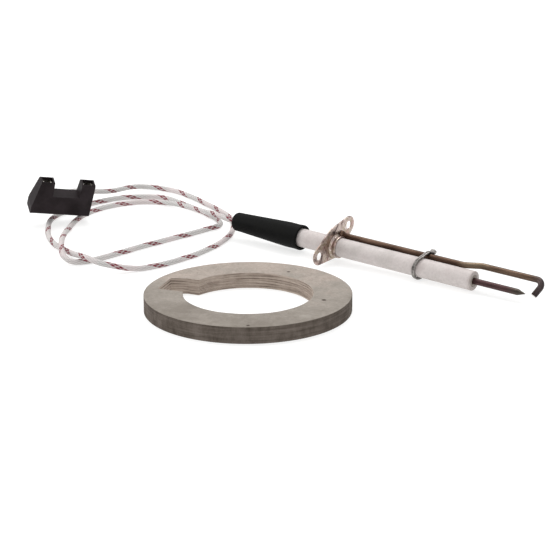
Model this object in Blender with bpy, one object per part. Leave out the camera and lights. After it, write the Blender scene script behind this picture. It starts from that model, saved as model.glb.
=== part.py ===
"""Burner ignition electrode with its earth rod, plug-on lead and door gasket.

Metres, +Z up, lying on a surface at z = 0. The electrode points nearly along +X: it swings a
few degrees toward the gasket and dips slightly, resting on the wire clamp round its ceramic.
The gasket lies flat beside it, and the lead and its connector lie behind. The origin is the
bottom centre of the electrode, its boot and the gasket together.
"""
import math

import bmesh
import bpy
from mathutils import Matrix, Vector

MM = 0.001
GAP = 0.3 * MM                      # clearance between pieces that touch or rest on each other

# --- Where the assembly lies ------------------------------------------------------------------
FLANGE_X = -25.6 * MM               # centre of the flange's front face, on the ceramic's axis
FLANGE_Y = 60.7 * MM
AXIS_HEIGHT = 8.03 * MM             # height of that centre: the clamp wire meets z = 0
DIP = math.radians(1.59)            # the tip points this far below level
SWING = math.radians(-4.33)         # and this far round from +X toward the gasket

# --- Electrode, measured along its axis from the flange's front face ---------------------------
CERAMIC_R = 5.0 * MM
CERAMIC_FRONT = 84.85 * MM
CERAMIC_REAR = -39.3 * MM
CERAMIC_BEVEL = 0.6 * MM
ROD_R = 1.6 * MM                    # both rods
BORE_R = ROD_R + GAP
SEAL_POCKET_R = 2.9 * MM            # counterbore for the front cement
SEAL_DEPTH = 4.0 * MM
PIN_POCKET_R = 3.2 * MM             # counterbore for the terminal pin and rear cement
PIN_POCKET_DEPTH = 9.0 * MM
TIP_X = 113.9 * MM                  # point of the ignition rod
TIP_CONE = 4.2 * MM
PIN_R = 2.0 * MM
PIN_REAR = -52.2 * MM

# --- Flange ------------------------------------------------------------------------------------
PLATE_T = 0.8 * MM
RECESS_DEPTH = 0.25 * MM            # coined recess round the collar and the weld
LOBE_R = 4.75 * MM
HOLE_PITCH = 28.0 * MM
SCREW_HOLE_R = 2.15 * MM
WAIST_R = 8.7 * MM                  # round middle of the plate
HOLE_LINE_OFFSET = 3.9 * MM         # the screw holes' line runs this far above the ceramic's axis
WAIST_OFFSET = 2.5 * MM             # and the round middle is centred this far above it
FLANGE_TILT = math.radians(24.7)    # roll of the hole line about the electrode's axis
COLLAR_R = 5.9 * MM
COLLAR_LENGTH = 3.2 * MM
RETAINER_R = 6.3 * MM
WELD_R = 2.7 * MM

# --- Earth rod ---------------------------------------------------------------------------------
EARTH_ROLL = math.radians(43.0)     # direction of the earth rod about the axis, from straight up
EARTH_NEAR = 7.0 * MM               # its distance from the axis along the ceramic
EARTH_FAR = 8.8 * MM                # and past the crank
EARTH_REAR = -PLATE_T
CRANK_START = 75.7 * MM
CRANK_END = 85.4 * MM
HOOK_X = 121.2 * MM                 # corner of the hook
HOOK_TIP_X = 118.3 * MM             # centre of the hook's cut end, on the ceramic's axis
HOOK_BEND_R = 3.4 * MM

# --- Clamp wire round the ceramic and the earth rod --------------------------------------------
CLAMP_X = 53.2 * MM
CLAMP_WIRE_R = 0.6 * MM
CLAMP_LEAN = math.radians(9.0)      # the loop leans forward at its top
TWIST_X = (55.8 * MM, 58.4 * MM)    # the wire's two ends, twisted together and laid forward
TWIST_R = 1.35 * MM
TWIST_OUT = 10.3 * MM               # distance of the twist from the ceramic's axis

# --- Boot and terminal -------------------------------------------------------------------------
BOOT_MOUTH = -22.0 * MM
BOOT_REAR = -68.7 * MM
BOOT_MOUTH_R = 6.85 * MM
BOOT_NECK_R = 5.25 * MM
BOOT_TAPER = (5.0 * MM, 37.0 * MM)  # from the rear end: where the boot starts and stops widening
CONTACT_R = 3.1 * MM

# --- Lead --------------------------------------------------------------------------------------
LEAD_R = 1.55 * MM
CORE_R = 0.6 * MM
LEAD_POINTS_PER_SPAN = 2            # points of the lead's tube for each stretch of its route

# Route of the lead's centre line, from the boot to the connector, in millimetres.
LEAD_ROUTE_MM = (
    (-94.5, 65.9, 9.9), (-99.5, 66.3, 10), (-108.2, 71.3, 9.2), (-130.4, 83.2, 6.2),
    (-166.6, 98.8, 2.2), (-185.1, 91.8, 1.6), (-194.1, 70.3, 1.6), (-192.1, 48.8, 1.6),
    (-179.6, 22.8, 2), (-160.1, -4.2, 5.3), (-148.6, -17.2, 4.8), (-142.1, -22.7, 3.6),
    (-136.1, -23.7, 2.2), (-131.1, -18.2, 1.6), (-128.1, -7.2, 1.6), (-124.6, 17.8, 1.6),
    (-115.1, 68.8, 1.6), (-114.6, 78.3, 1.6), (-123.1, 87.3, 1.6), (-161.1, 103.8, 1.6),
    (-181.6, 108.3, 1.6), (-201.1, 91.8, 1.6), (-205.6, 42.3, 1.6), (-187.6, 14.8, 1.6),
    (-168.1, -2.2, 1.6), (-146.6, -12.2, 2.2), (-127.1, -22.7, 5.7), (-114.6, -23.2, 4.4),
    (-99.6, -11.7, 1.6), (-91.6, 15.8, 1.6), (-92.6, 46.8, 1.6), (-100.1, 69.8, 1.6),
    (-116.1, 91.8, 1.6), (-139.6, 106.8, 1.6), (-187.1, 125.8, 1.6), (-206.6, 119.8, 2.3),
    (-205.1, 87.8, 6.3), (-205.4, 57.3, 12.9), (-201.1, 48.7, 14), (-198.4, 46.5, 12.9),
)

# --- Connector, in its own frame: x along its width, y from front to back, z up -----------------
CONNECTOR_AT = Vector((-204, 19.6, 7.7)) * MM     # front lower left corner
CONNECTOR_TURN = (math.radians(20.0), math.radians(9.0), math.radians(55.0))
HOUSING_W = 33.4 * MM
HOUSING_H = 21.4 * MM
HOUSING_BASE_T = 10.8 * MM          # thickness from the bottom up to HOUSING_SHOULDER
HOUSING_SHOULDER = 6.5 * MM
HOUSING_FOOT_BEVEL = 1.0 * MM       # bevel along the front lower edge
HOUSING_TOP_T = 7.0 * MM            # and at the tower tops
RAMP_OUT = 1.0 * MM                 # the left end is a ramp: its foot stands out this far
RAMP_FOOT_Z = 4.5 * MM
LEFT_TOWER = (2.2 * MM, 9.9 * MM)   # the towers' sides at the top
RIGHT_TOWER = (25.6 * MM, HOUSING_W)
SADDLE_H = 12.3 * MM
WALL = 0.9 * MM
COVER_T = 1.4 * MM
CONTACT_WALL = 0.45 * MM
BRIDGE_Z = 8.0 * MM
LEAD_ENTRY_X = 24.0 * MM
LEAD_ENTRY_Z = 4.8 * MM
GROMMET_R = 2.5 * MM
GROMMET_OUT = 2.1 * MM

# --- Gasket ------------------------------------------------------------------------------------
GASKET_AT = Vector((-19.4, -28.7, 0.0)) * MM
GASKET_R = 50.0 * MM
GASKET_HOLE_R = 31.25 * MM
GASKET_T = 8.0 * MM
# Corners of the notch in its inner edge, from the gasket's centre, in millimetres.
NOTCH_CORNERS_MM = ((-26, 3.4), (-37.3, 1.3), (-44.2, -3.3), (-39.5, -19.4), (-18, -14.5))


# --- Building blocks ---------------------------------------------------------------------------
def clear_scene():
    for thing in list(bpy.data.objects):
        bpy.data.objects.remove(thing)


def material(name, colour, roughness, metallic=0.0):
    made = bpy.data.materials.new(name)
    made.use_nodes = True
    shader = made.node_tree.nodes["Principled BSDF"]
    shader.inputs["Base Color"].default_value = (*colour, 1.0)
    shader.inputs["Roughness"].default_value = roughness
    shader.inputs["Metallic"].default_value = metallic
    made.diffuse_color = (*colour, 1.0)
    return made


def empty(name, location, rotation):
    made = bpy.data.objects.new(name, None)
    made.location = location
    made.rotation_euler = rotation
    bpy.context.collection.objects.link(made)
    return made


def add_object(name, data, parent, look):
    made = bpy.data.objects.new(name, data)
    bpy.context.collection.objects.link(made)
    made.parent = parent
    data.materials.append(look)
    return made


def mesh_object(name, bm, parent, look):
    bmesh.ops.recalc_face_normals(bm, faces=bm.faces)
    mesh = bpy.data.meshes.new(name)
    bm.to_mesh(mesh)
    bm.free()
    mesh.shade_smooth()
    mesh.set_sharp_from_angle(angle=math.radians(35))
    return add_object(name, mesh, parent, look)


def turned_mesh(outline, sides=32, centre=(0.0, 0.0)):
    """Turn (x, radius) points about the X axis; the outline closes on itself."""
    bm = bmesh.new()
    rings = []
    for x, radius in outline:
        if radius == 0.0:
            rings.append([bm.verts.new((x, *centre))])
            continue
        ring = []
        for step in range(sides):
            angle = 2 * math.pi * step / sides
            y = centre[0] + radius * math.cos(angle)
            z = centre[1] + radius * math.sin(angle)
            ring.append(bm.verts.new((x, y, z)))
        rings.append(ring)
    for here, there in zip(rings, rings[1:] + rings[:1]):
        for step in range(sides):
            after = (step + 1) % sides
            if len(here) > 1 and len(there) > 1:
                bm.faces.new((here[step], here[after], there[after], there[step]))
            elif len(here) > 1:
                bm.faces.new((here[step], here[after], there[0]))
            elif len(there) > 1:
                bm.faces.new((here[0], there[after], there[step]))
    return bm


def turned(name, outline, parent, look, sides=32, centre=(0.0, 0.0)):
    return mesh_object(name, turned_mesh(outline, sides, centre), parent, look)


def sleeve(front, rear, inner, outer, bevel=0.0):
    """Outline of a plain tube, optionally with its outer corners bevelled."""
    if bevel == 0.0:
        return [(front, inner), (front, outer), (rear, outer), (rear, inner)]
    return [
        (front, inner), (front, outer - bevel), (front - bevel, outer),
        (rear + bevel, outer), (rear, outer - bevel), (rear, inner),
    ]


def prism_mesh(outline, start, end, axis="x"):
    """Extrude a flat outline. Its points are (y, z) along x, or (x, y) along z."""
    bm = bmesh.new()
    loops = []
    for level in (start, end):
        if axis == "x":
            loops.append([bm.verts.new((level, a, b)) for a, b in outline])
        else:
            loops.append([bm.verts.new((a, b, level)) for a, b in outline])
    bm.faces.new(loops[0])
    bm.faces.new(list(reversed(loops[1])))
    count = len(outline)
    for step in range(count):
        after = (step + 1) % count
        bm.faces.new((loops[0][step], loops[1][step], loops[1][after], loops[0][after]))
    bmesh.ops.recalc_face_normals(bm, faces=bm.faces)
    return bm


def box_mesh(low, high):
    return prism_mesh(
        [(low[1], low[2]), (high[1], low[2]), (high[1], high[2]), (low[1], high[2])],
        low[0], high[0])


def cutter(name, bm, parent):
    bmesh.ops.recalc_face_normals(bm, faces=bm.faces)
    mesh = bpy.data.meshes.new(name)
    bm.to_mesh(mesh)
    bm.free()
    made = bpy.data.objects.new(name, mesh)
    bpy.context.collection.objects.link(made)
    made.parent = parent
    made.hide_render = True
    made.display_type = "WIRE"
    return made


def cut(target, tool):
    change = target.modifiers.new(tool.name, "BOOLEAN")
    change.operation = "DIFFERENCE"
    change.solver = "EXACT"
    change.object = tool


def round_bar(name, points, radius, parent, look, resolution=4, closed=False):
    """A round bar along straight segments between the points."""
    curve = bpy.data.curves.new(name, "CURVE")
    curve.dimensions = "3D"
    curve.bevel_depth = radius
    curve.bevel_resolution = resolution
    curve.use_fill_caps = not closed
    spline = curve.splines.new("POLY")
    spline.points.add(len(points) - 1)
    for point, place in zip(spline.points, points):
        point.co = (*place, 1.0)
    spline.use_cyclic_u = closed
    spline.use_smooth = True
    return add_object(name, curve, parent, look)


def smooth_curve(points, per_span):
    """Centripetal Catmull-Rom curve through the points."""
    points = [Vector(point) for point in points]
    padded = [2 * points[0] - points[1], *points, 2 * points[-1] - points[-2]]
    curve = []
    for span in range(len(padded) - 3):
        p0, p1, p2, p3 = padded[span:span + 4]
        t1 = (p1 - p0).length ** 0.5
        t2 = t1 + (p2 - p1).length ** 0.5
        t3 = t2 + (p3 - p2).length ** 0.5
        for step in range(per_span):
            t = t1 + (t2 - t1) * step / per_span
            a1 = p0.lerp(p1, t / t1)
            a2 = p1.lerp(p2, (t - t1) / (t2 - t1))
            a3 = p2.lerp(p3, (t - t2) / (t3 - t2))
            b1 = a1.lerp(a2, t / t2)
            b2 = a2.lerp(a3, (t - t1) / (t3 - t1))
            curve.append(b1.lerp(b2, (t - t1) / (t2 - t1)))
    curve.append(points[-1])
    return curve


def rounded_path(corners, radius, steps=6):
    """Replace each inner corner of a path by an arc of the given radius."""
    path = [corners[0]]
    for before, corner, after in zip(corners, corners[1:], corners[2:]):
        back = (before - corner).normalized()
        ahead = (after - corner).normalized()
        half = back.angle(ahead) / 2
        setback = radius / math.tan(half)
        centre = corner + (back + ahead).normalized() * (radius / math.sin(half))
        start = corner + back * setback - centre
        turn = start.cross(corner + ahead * setback - centre).normalized()
        sweep = math.pi - 2 * half
        for step in range(steps + 1):
            path.append(centre + Matrix.Rotation(sweep * step / steps, 3, turn) @ start)
    path.append(corners[-1])
    return path


def arc(centre, radius, start, end, steps):
    """Points of a plane arc, both ends included."""
    places = []
    for step in range(steps + 1):
        angle = start + (end - start) * step / steps
        places.append((centre[0] + radius * math.cos(angle),
                       centre[1] + radius * math.sin(angle)))
    return places


def belt(circles, steps=10):
    """Outline of a band stretched round circles, each (centre, radius), listed anticlockwise."""
    outline = []
    count = len(circles)
    for index in range(count):
        centre, radius = circles[index]
        ends = []
        for a, b in ((circles[index - 1], circles[index]),
                     (circles[index], circles[(index + 1) % count])):
            run = Vector(b[0]) - Vector(a[0])
            lean = math.acos((a[1] - b[1]) / run.length)
            ends.append(math.atan2(run.y, run.x) - lean)
        while ends[1] < ends[0]:
            ends[1] += 2 * math.pi
        outline += arc(centre, radius, ends[0], ends[1], steps)
    return outline


# --- Materials ---------------------------------------------------------------------------------
def make_looks():
    return {
        "ceramic": material("ceramic", (0.80, 0.77, 0.75), 0.55),
        "cement": material("cement", (0.62, 0.58, 0.53), 0.9),
        "rod": material("heat_tinted_rod", (0.20, 0.13, 0.10), 0.38, 1.0),
        "flange": material("flange_steel", (0.50, 0.42, 0.39), 0.32, 1.0),
        "clamp": material("clamp_wire", (0.42, 0.41, 0.40), 0.35, 1.0),
        "pin": material("nickel_plate", (0.66, 0.63, 0.58), 0.28, 1.0),
        "rubber": material("black_rubber", (0.018, 0.018, 0.018), 0.6),
        "braid": material("glass_braid", (0.78, 0.77, 0.76), 0.85),
        "plastic": material("black_plastic", (0.028, 0.025, 0.026), 0.45),
        "brass": material("contact_brass", (0.72, 0.58, 0.34), 0.3, 1.0),
        "gasket": material("gasket_fibre", (0.50, 0.45, 0.40), 0.9),
    }


# --- Ceramic and its rod -----------------------------------------------------------------------
def make_ceramic(frame, look):
    front, rear, bevel = CERAMIC_FRONT, CERAMIC_REAR, CERAMIC_BEVEL
    turned("ceramic_insulator", [
        (front, SEAL_POCKET_R), (front, CERAMIC_R - bevel), (front - bevel, CERAMIC_R),
        (rear + bevel, CERAMIC_R), (rear, CERAMIC_R - bevel), (rear, PIN_POCKET_R),
        (rear + PIN_POCKET_DEPTH, PIN_POCKET_R), (rear + PIN_POCKET_DEPTH, BORE_R),
        (front - SEAL_DEPTH, BORE_R), (front - SEAL_DEPTH, SEAL_POCKET_R),
    ], frame, look["ceramic"], sides=36)
    turned("front_cement", sleeve(front - 0.2 * MM, front - SEAL_DEPTH + GAP, BORE_R,
                                  SEAL_POCKET_R - GAP), frame, look["cement"], sides=24)
    turned("rear_cement", sleeve(rear + PIN_POCKET_DEPTH - 2.4 * MM, rear + 0.4 * MM,
                                 PIN_R + GAP, PIN_POCKET_R - GAP), frame, look["cement"], sides=24)


def make_ignition_rod(frame, look):
    rear = CERAMIC_REAR + PIN_POCKET_DEPTH - 0.8 * MM
    turned("ignition_rod", [
        (TIP_X, 0.0), (TIP_X - 0.15 * MM, 0.2 * MM), (TIP_X - TIP_CONE, ROD_R),
        (rear, ROD_R), (rear, 0.0),
    ], frame, look["rod"], sides=20)
    pin_front = rear - GAP
    groove = PIN_REAR + 4.0 * MM
    turned("terminal_pin", [
        (pin_front, 0.0), (pin_front, PIN_R), (groove + 1.4 * MM, PIN_R),
        (groove + 1.0 * MM, PIN_R - 0.4 * MM), (groove, PIN_R - 0.4 * MM),
        (groove - 0.4 * MM, PIN_R), (PIN_REAR + 1.0 * MM, PIN_R),
        (PIN_REAR, PIN_R - 0.9 * MM), (PIN_REAR, 0.0),
    ], frame, look["pin"], sides=20)


# --- Flange ------------------------------------------------------------------------------------
def flange_point(along, above):
    """(y, z) of a point on the flange, measured along and above the ceramic's centre."""
    return (along * math.cos(FLANGE_TILT) - above * math.sin(FLANGE_TILT),
            along * math.sin(FLANGE_TILT) + above * math.cos(FLANGE_TILT))


def make_flange(frame, look):
    half = HOLE_PITCH / 2
    lobe_left = flange_point(-half, HOLE_LINE_OFFSET)
    lobe_right = flange_point(half, HOLE_LINE_OFFSET)
    middle = flange_point(0.0, WAIST_OFFSET)
    outline = belt([(middle, WAIST_R), (lobe_right, LOBE_R), (middle, WAIST_R),
                    (lobe_left, LOBE_R)])
    plate = mesh_object("mounting_flange", prism_mesh(outline, -PLATE_T, 0.0), frame,
                        look["flange"])
    rod = earth_offset(EARTH_NEAR)
    for name, centre, radius in (("collar_recess", (0.0, 0.0), COLLAR_R + GAP),
                                 ("weld_recess", (rod.y, rod.z), WELD_R + GAP)):
        pocket = [(-RECESS_DEPTH, 0.0), (-RECESS_DEPTH, radius), (1 * MM, radius), (1 * MM, 0.0)]
        cut(plate, cutter(name, turned_mesh(pocket, 40, centre), frame))
    holes = {
        "ceramic_opening": ((0.0, 0.0), CERAMIC_R + GAP, 32),
        "screw_hole_left": (lobe_left, SCREW_HOLE_R, 24),
        "screw_hole_right": (lobe_right, SCREW_HOLE_R, 24),
        "earth_rod_opening": (earth_offset(EARTH_NEAR), ROD_R + GAP, 20),
    }
    for name, (centre, radius, sides) in holes.items():
        cut(plate, cylinder_cutter(name, centre, radius, frame, sides))
    make_collar(frame, look)


def make_collar(frame, look):
    inner = CERAMIC_R + GAP
    front = COLLAR_LENGTH
    seat = GAP - RECESS_DEPTH
    collar = turned("flange_collar", [
        (front, inner), (front, COLLAR_R - 0.35 * MM), (front - 0.35 * MM, COLLAR_R),
        (front - 1.1 * MM, COLLAR_R), (front - 1.5 * MM, COLLAR_R - 0.3 * MM),
        (seat + 0.6 * MM, COLLAR_R - 0.3 * MM), (seat, COLLAR_R), (seat, inner),
    ], frame, look["flange"], sides=32)
    cut(collar, cylinder_cutter("rod_relief", earth_offset(EARTH_NEAR), ROD_R + GAP, frame))
    turned("retaining_ring", sleeve(-PLATE_T - GAP, -PLATE_T - GAP - 1.2 * MM, inner, RETAINER_R,
                                    0.3 * MM), frame, look["clamp"], sides=32)


def cylinder_cutter(name, centre, radius, frame, sides=24):
    """A long cutter parallel to the axis, through the flange and everything on it."""
    start, end = -PLATE_T - 1 * MM, COLLAR_LENGTH + 1 * MM
    bore = [(start, 0.0), (start, radius), (end, radius), (end, 0.0)]
    return cutter(name, turned_mesh(bore, sides, (centre[-2], centre[-1])), frame)


# --- Earth rod and clamp -----------------------------------------------------------------------
def earth_offset(distance, x=0.0):
    """Point at a distance from the axis in the earth rod's direction."""
    return Vector((x, distance * math.sin(EARTH_ROLL), distance * math.cos(EARTH_ROLL)))


def make_earth_rod(frame, look):
    corners = [
        earth_offset(EARTH_NEAR, EARTH_REAR), earth_offset(EARTH_NEAR, CRANK_START),
        earth_offset(EARTH_FAR, CRANK_END), earth_offset(EARTH_FAR, HOOK_X),
        earth_offset(0.0, HOOK_TIP_X),
    ]
    crank = rounded_path(corners[:4], 14 * MM, 4)
    path = crank[:-1] + rounded_path([crank[-2], corners[3], corners[4]], HOOK_BEND_R, 8)[1:]
    round_bar("earth_rod", path, ROD_R, frame, look["rod"], resolution=5)
    root = earth_offset(EARTH_NEAR)
    seat = GAP - RECESS_DEPTH
    weld = turned("earth_rod_weld", [
        (seat, ROD_R + GAP), (seat, WELD_R), (0.5 * MM, WELD_R - 0.1 * MM),
        (1.4 * MM, ROD_R + 0.5 * MM), (1.4 * MM, ROD_R + GAP),
    ], frame, look["rod"], sides=20, centre=(root.y, root.z))
    cut(weld, cylinder_cutter("collar_relief", (0.0, 0.0), COLLAR_R + GAP, frame, 40))


def make_clamp(frame, look):
    reach = GAP + CLAMP_WIRE_R
    rod = earth_offset(EARTH_NEAR)
    outline = belt([((0.0, 0.0), CERAMIC_R + reach + 0.1 * MM), ((rod.y, rod.z), ROD_R + reach)], 12)
    lean = Matrix.Rotation(CLAMP_LEAN, 3, Vector((0.0, math.cos(EARTH_ROLL), -math.sin(EARTH_ROLL))))
    ring = [lean @ Vector((0.0, y, z)) + Vector((CLAMP_X, 0.0, 0.0)) for y, z in outline]
    round_bar("clamp_wire", ring, CLAMP_WIRE_R, frame, look["clamp"], resolution=2, closed=True)
    rear, front = TWIST_X
    outer = earth_offset(TWIST_OUT)
    turned("clamp_twist", [
        (front, 0.0), (front, TWIST_R * 0.5), (front - TWIST_R * 0.5, TWIST_R),
        (rear + TWIST_R * 0.4, TWIST_R), (rear, TWIST_R * 0.6), (rear, 0.0),
    ], frame, look["clamp"], sides=16, centre=(outer.y, outer.z))


# --- Boot and the terminal inside it -----------------------------------------------------------
def make_boot(frame, look):
    mouth, rear = BOOT_MOUTH, BOOT_REAR
    seat = CERAMIC_REAR - 1.0 * MM
    turned("rubber_boot", [
        (mouth, CERAMIC_R + 0.8 * MM), (mouth, BOOT_MOUTH_R - 0.25 * MM),
        (mouth - 0.5 * MM, BOOT_MOUTH_R), (rear + BOOT_TAPER[1], BOOT_MOUTH_R),
        (rear + BOOT_TAPER[0], BOOT_NECK_R), (rear + 1.5 * MM, BOOT_NECK_R - 0.1 * MM),
        (rear + 0.5 * MM, BOOT_NECK_R - 0.6 * MM), (rear, BOOT_NECK_R - 1.4 * MM),
        (rear, LEAD_R + GAP), (rear + 6.0 * MM, LEAD_R + GAP), (rear + 7.5 * MM, CONTACT_R + GAP),
        (seat, CONTACT_R + GAP), (seat, CERAMIC_R + GAP), (mouth - 2.0 * MM, CERAMIC_R + GAP),
    ], frame, look["rubber"], sides=32)


def make_terminal(frame, look):
    inner = PIN_R + GAP
    front = CERAMIC_REAR - 1.6 * MM
    rear = PIN_REAR - 1.0 * MM
    turned("spring_contact", [
        (front, inner + 0.3 * MM), (front, CONTACT_R), (rear, CONTACT_R), (rear, inner),
        (front - 1.5 * MM, inner),
    ], frame, look["brass"], sides=20)
    barrel_front = rear - GAP
    barrel_rear = barrel_front - 4.4 * MM
    turned("crimp_barrel", [
        (barrel_front, CORE_R + GAP), (barrel_front, 2.4 * MM), (barrel_front - 1.0 * MM, 2.4 * MM),
        (barrel_front - 1.6 * MM, 1.7 * MM), (barrel_rear, 1.7 * MM), (barrel_rear, CORE_R + GAP),
    ], frame, look["brass"], sides=20)
    lead_end("lead_end_in_boot", BOOT_REAR, barrel_rear - GAP, barrel_front - 0.4 * MM, frame, look)


def lead_end(name, outer_end, strip, core_end, frame, look):
    """A short end of the lead along x: insulation from outer_end to strip, then bare core."""
    turned(name, [
        (outer_end, 0.0), (outer_end, LEAD_R), (strip, LEAD_R), (strip, CORE_R),
        (core_end, CORE_R), (core_end, 0.0),
    ], frame, look["braid"], sides=12)


# --- Lead --------------------------------------------------------------------------------------
def make_lead(look):
    route = [Vector(point) * MM for point in LEAD_ROUTE_MM]
    path = smooth_curve(route, LEAD_POINTS_PER_SPAN)
    for point in path:
        point.z = max(point.z, LEAD_R + 0.03 * MM)
    round_bar("ignition_lead", path, LEAD_R, None, look["braid"], resolution=2)


# --- Connector ---------------------------------------------------------------------------------
def housing_depth(height):
    """Thickness at a height: full up to the shoulder, then tapering to the tower tops."""
    taper = max(0.0, height - HOUSING_SHOULDER) / (HOUSING_H - HOUSING_SHOULDER)
    return HOUSING_BASE_T + (HOUSING_TOP_T - HOUSING_BASE_T) * taper


def make_housing(frame, look):
    bevel = 0.6 * MM
    top = HOUSING_H
    side = [
        (HOUSING_FOOT_BEVEL, 0.0), (HOUSING_BASE_T - bevel, 0.0), (HOUSING_BASE_T, bevel),
        (HOUSING_BASE_T, HOUSING_SHOULDER), (housing_depth(top - bevel), top - bevel),
        (HOUSING_TOP_T - bevel, top), (bevel, top), (0.0, top - bevel), (0.0, HOUSING_FOOT_BEVEL),
    ]
    housing = mesh_object("connector_housing", prism_mesh(side, -RAMP_OUT, HOUSING_W), frame,
                          look["plastic"])
    far = HOUSING_BASE_T + 2 * MM
    above = top + 2 * MM
    cut(housing, cutter("saddle_cut", box_mesh((LEFT_TOWER[1], -2 * MM, SADDLE_H),
                                               (RIGHT_TOWER[0], far, above)), frame))
    slope = (LEFT_TOWER[0] + RAMP_OUT) / (top - RAMP_FOOT_Z)
    over = LEFT_TOWER[0] + slope * (above - top)
    outside = -RAMP_OUT - 2 * MM
    # The outline's first coordinate runs along -x once the prism is turned a quarter round z.
    ramp = prism_mesh([(-outside, RAMP_FOOT_Z), (RAMP_OUT, RAMP_FOOT_Z), (-over, above),
                       (-outside, above)], -2 * MM, far)
    bmesh.ops.transform(ramp, matrix=Matrix.Rotation(math.radians(90), 4, "Z"), verts=ramp.verts)
    cut(housing, cutter("ramp_cut", ramp, frame))
    for name, (left, right) in (("left_socket", LEFT_TOWER), ("right_socket", RIGHT_TOWER)):
        low = (left + WALL, WALL, BRIDGE_Z - 2 * MM)
        high = (right - WALL, HOUSING_TOP_T - WALL, above)
        cut(housing, cutter(name, box_mesh(low, high), frame))
    cavity = box_mesh((WALL + 0.3 * MM, WALL, -2 * MM),
                      (HOUSING_W - WALL - 0.3 * MM, HOUSING_TOP_T + 1.3 * MM, BRIDGE_Z + 1.4 * MM))
    cut(housing, cutter("base_cavity", cavity, frame))
    entry = GROMMET_R + GAP
    bore = turned_mesh([(4 * MM, 0.0), (4 * MM, entry), (far, entry), (far, 0.0)], 20)
    bmesh.ops.transform(bore, matrix=lead_entry_matrix(), verts=bore.verts)
    cut(housing, cutter("lead_entry", bore, frame))


def lead_entry_matrix():
    """Turns the X axis onto the connector's front-to-back axis at the lead entry."""
    return Matrix.Translation((LEAD_ENTRY_X, 0.0, LEAD_ENTRY_Z)) @ Matrix.Rotation(
        math.radians(90), 4, "Z")


def make_connector_inside(frame, look):
    low = WALL + 0.3 * MM + GAP
    cover = box_mesh((low, WALL + GAP, 0.0),
                     (HOUSING_W - low, HOUSING_TOP_T + 1.3 * MM - GAP, COVER_T))
    mesh_object("connector_cover", cover, frame, look["plastic"])
    make_receptacle("left_receptacle", LEFT_TOWER, frame, look)
    make_receptacle("right_receptacle", RIGHT_TOWER, frame, look)
    bridge = box_mesh((WALL + 1.5 * MM, WALL + 1.0 * MM, BRIDGE_Z - 0.5 * MM),
                      (HOUSING_W - WALL - 1.5 * MM, HOUSING_TOP_T - WALL - 0.2 * MM, BRIDGE_Z))
    mesh_object("contact_bridge", bridge, frame, look["brass"])


def make_receptacle(name, tower, frame, look):
    """A folded sheet-metal receptacle, open at both ends, standing in a tower."""
    low_x, high_x = tower[0] + WALL + 0.5 * MM, tower[1] - WALL - 0.5 * MM
    low_y, high_y = WALL + GAP, HOUSING_TOP_T - WALL - GAP
    low_z, high_z = BRIDGE_Z + GAP, HOUSING_H - 1.6 * MM
    wall = CONTACT_WALL
    bm = bmesh.new()
    levels = []
    for z in (low_z, high_z):
        for inset in (0.0, wall):
            ring = [bm.verts.new((x, y, z)) for x, y in (
                (low_x + inset, low_y + inset), (high_x - inset, low_y + inset),
                (high_x - inset, high_y - inset), (low_x + inset, high_y - inset))]
            levels.append(ring)
    outer_low, inner_low, outer_high, inner_high = levels
    for a, b in ((outer_low, outer_high), (outer_high, inner_high), (inner_high, inner_low),
                 (inner_low, outer_low)):
        for step in range(4):
            after = (step + 1) % 4
            bm.faces.new((a[step], a[after], b[after], b[step]))
    mesh_object(name, bm, frame, look["brass"])


def make_lead_entry(connector, look):
    """Grommet, lead end and crimp, on the axis where the lead enters."""
    frame = empty("lead_entry_axis", (LEAD_ENTRY_X, 0.0, LEAD_ENTRY_Z), (0, 0, math.radians(90)))
    frame.parent = connector
    wall = HOUSING_TOP_T + 1.3 * MM + GAP
    out = housing_depth(LEAD_ENTRY_Z) + GROMMET_OUT
    turned("lead_grommet", [
        (out, LEAD_R + GAP), (out, LEAD_R + 0.7 * MM), (wall + 0.9 * MM, GROMMET_R),
        (wall, GROMMET_R), (wall, LEAD_R + GAP),
    ], frame, look["rubber"], sides=20)
    strip = 5.0 * MM
    lead_end("lead_end_in_connector", out, strip, 2.1 * MM, frame, look)
    turned("connector_crimp", sleeve(strip - GAP, 2.0 * MM, CORE_R + GAP, 1.5 * MM), frame,
           look["brass"], sides=16)


# --- Gasket ------------------------------------------------------------------------------------
def make_gasket(look):
    sides = 96
    outer = arc((0.0, 0.0), GASKET_R, 0.0, 2 * math.pi, sides)[:-1]
    ring = mesh_object("gasket_ring", prism_mesh(outer, 0.0, GASKET_T, "z"), None, look["gasket"])
    ring.location = GASKET_AT
    below, above = -1 * MM, GASKET_T + 1 * MM
    hole = arc((0.0, 0.0), GASKET_HOLE_R, 0.0, 2 * math.pi, sides)[:-1]
    cut(ring, cutter("gasket_hole", prism_mesh(hole, below, above, "z"), ring))
    notch = [Vector(point) * MM for point in NOTCH_CORNERS_MM]
    cut(ring, cutter("gasket_notch", prism_mesh(notch, below, above, "z"), ring))


def main():
    clear_scene()
    look = make_looks()
    flange_centre = (FLANGE_X, FLANGE_Y, AXIS_HEIGHT)
    electrode = empty("electrode_axis", flange_centre, (0.0, DIP, SWING))
    plug = empty("plug_axis", flange_centre, (0.0, DIP, SWING))
    connector = empty("connector_frame", CONNECTOR_AT, CONNECTOR_TURN)
    make_ceramic(electrode, look)
    make_ignition_rod(electrode, look)
    make_flange(electrode, look)
    make_earth_rod(electrode, look)
    make_clamp(electrode, look)
    make_boot(plug, look)
    make_terminal(plug, look)
    make_lead(look)
    make_housing(connector, look)
    make_connector_inside(connector, look)
    make_lead_entry(connector, look)
    make_gasket(look)


main()
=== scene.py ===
"""Burner ignition electrode, its plug-on lead and its gasket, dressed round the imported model."""
import math

import bmesh
import bpy
import numpy as np
from mathutils import Matrix, Vector, noise


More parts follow.
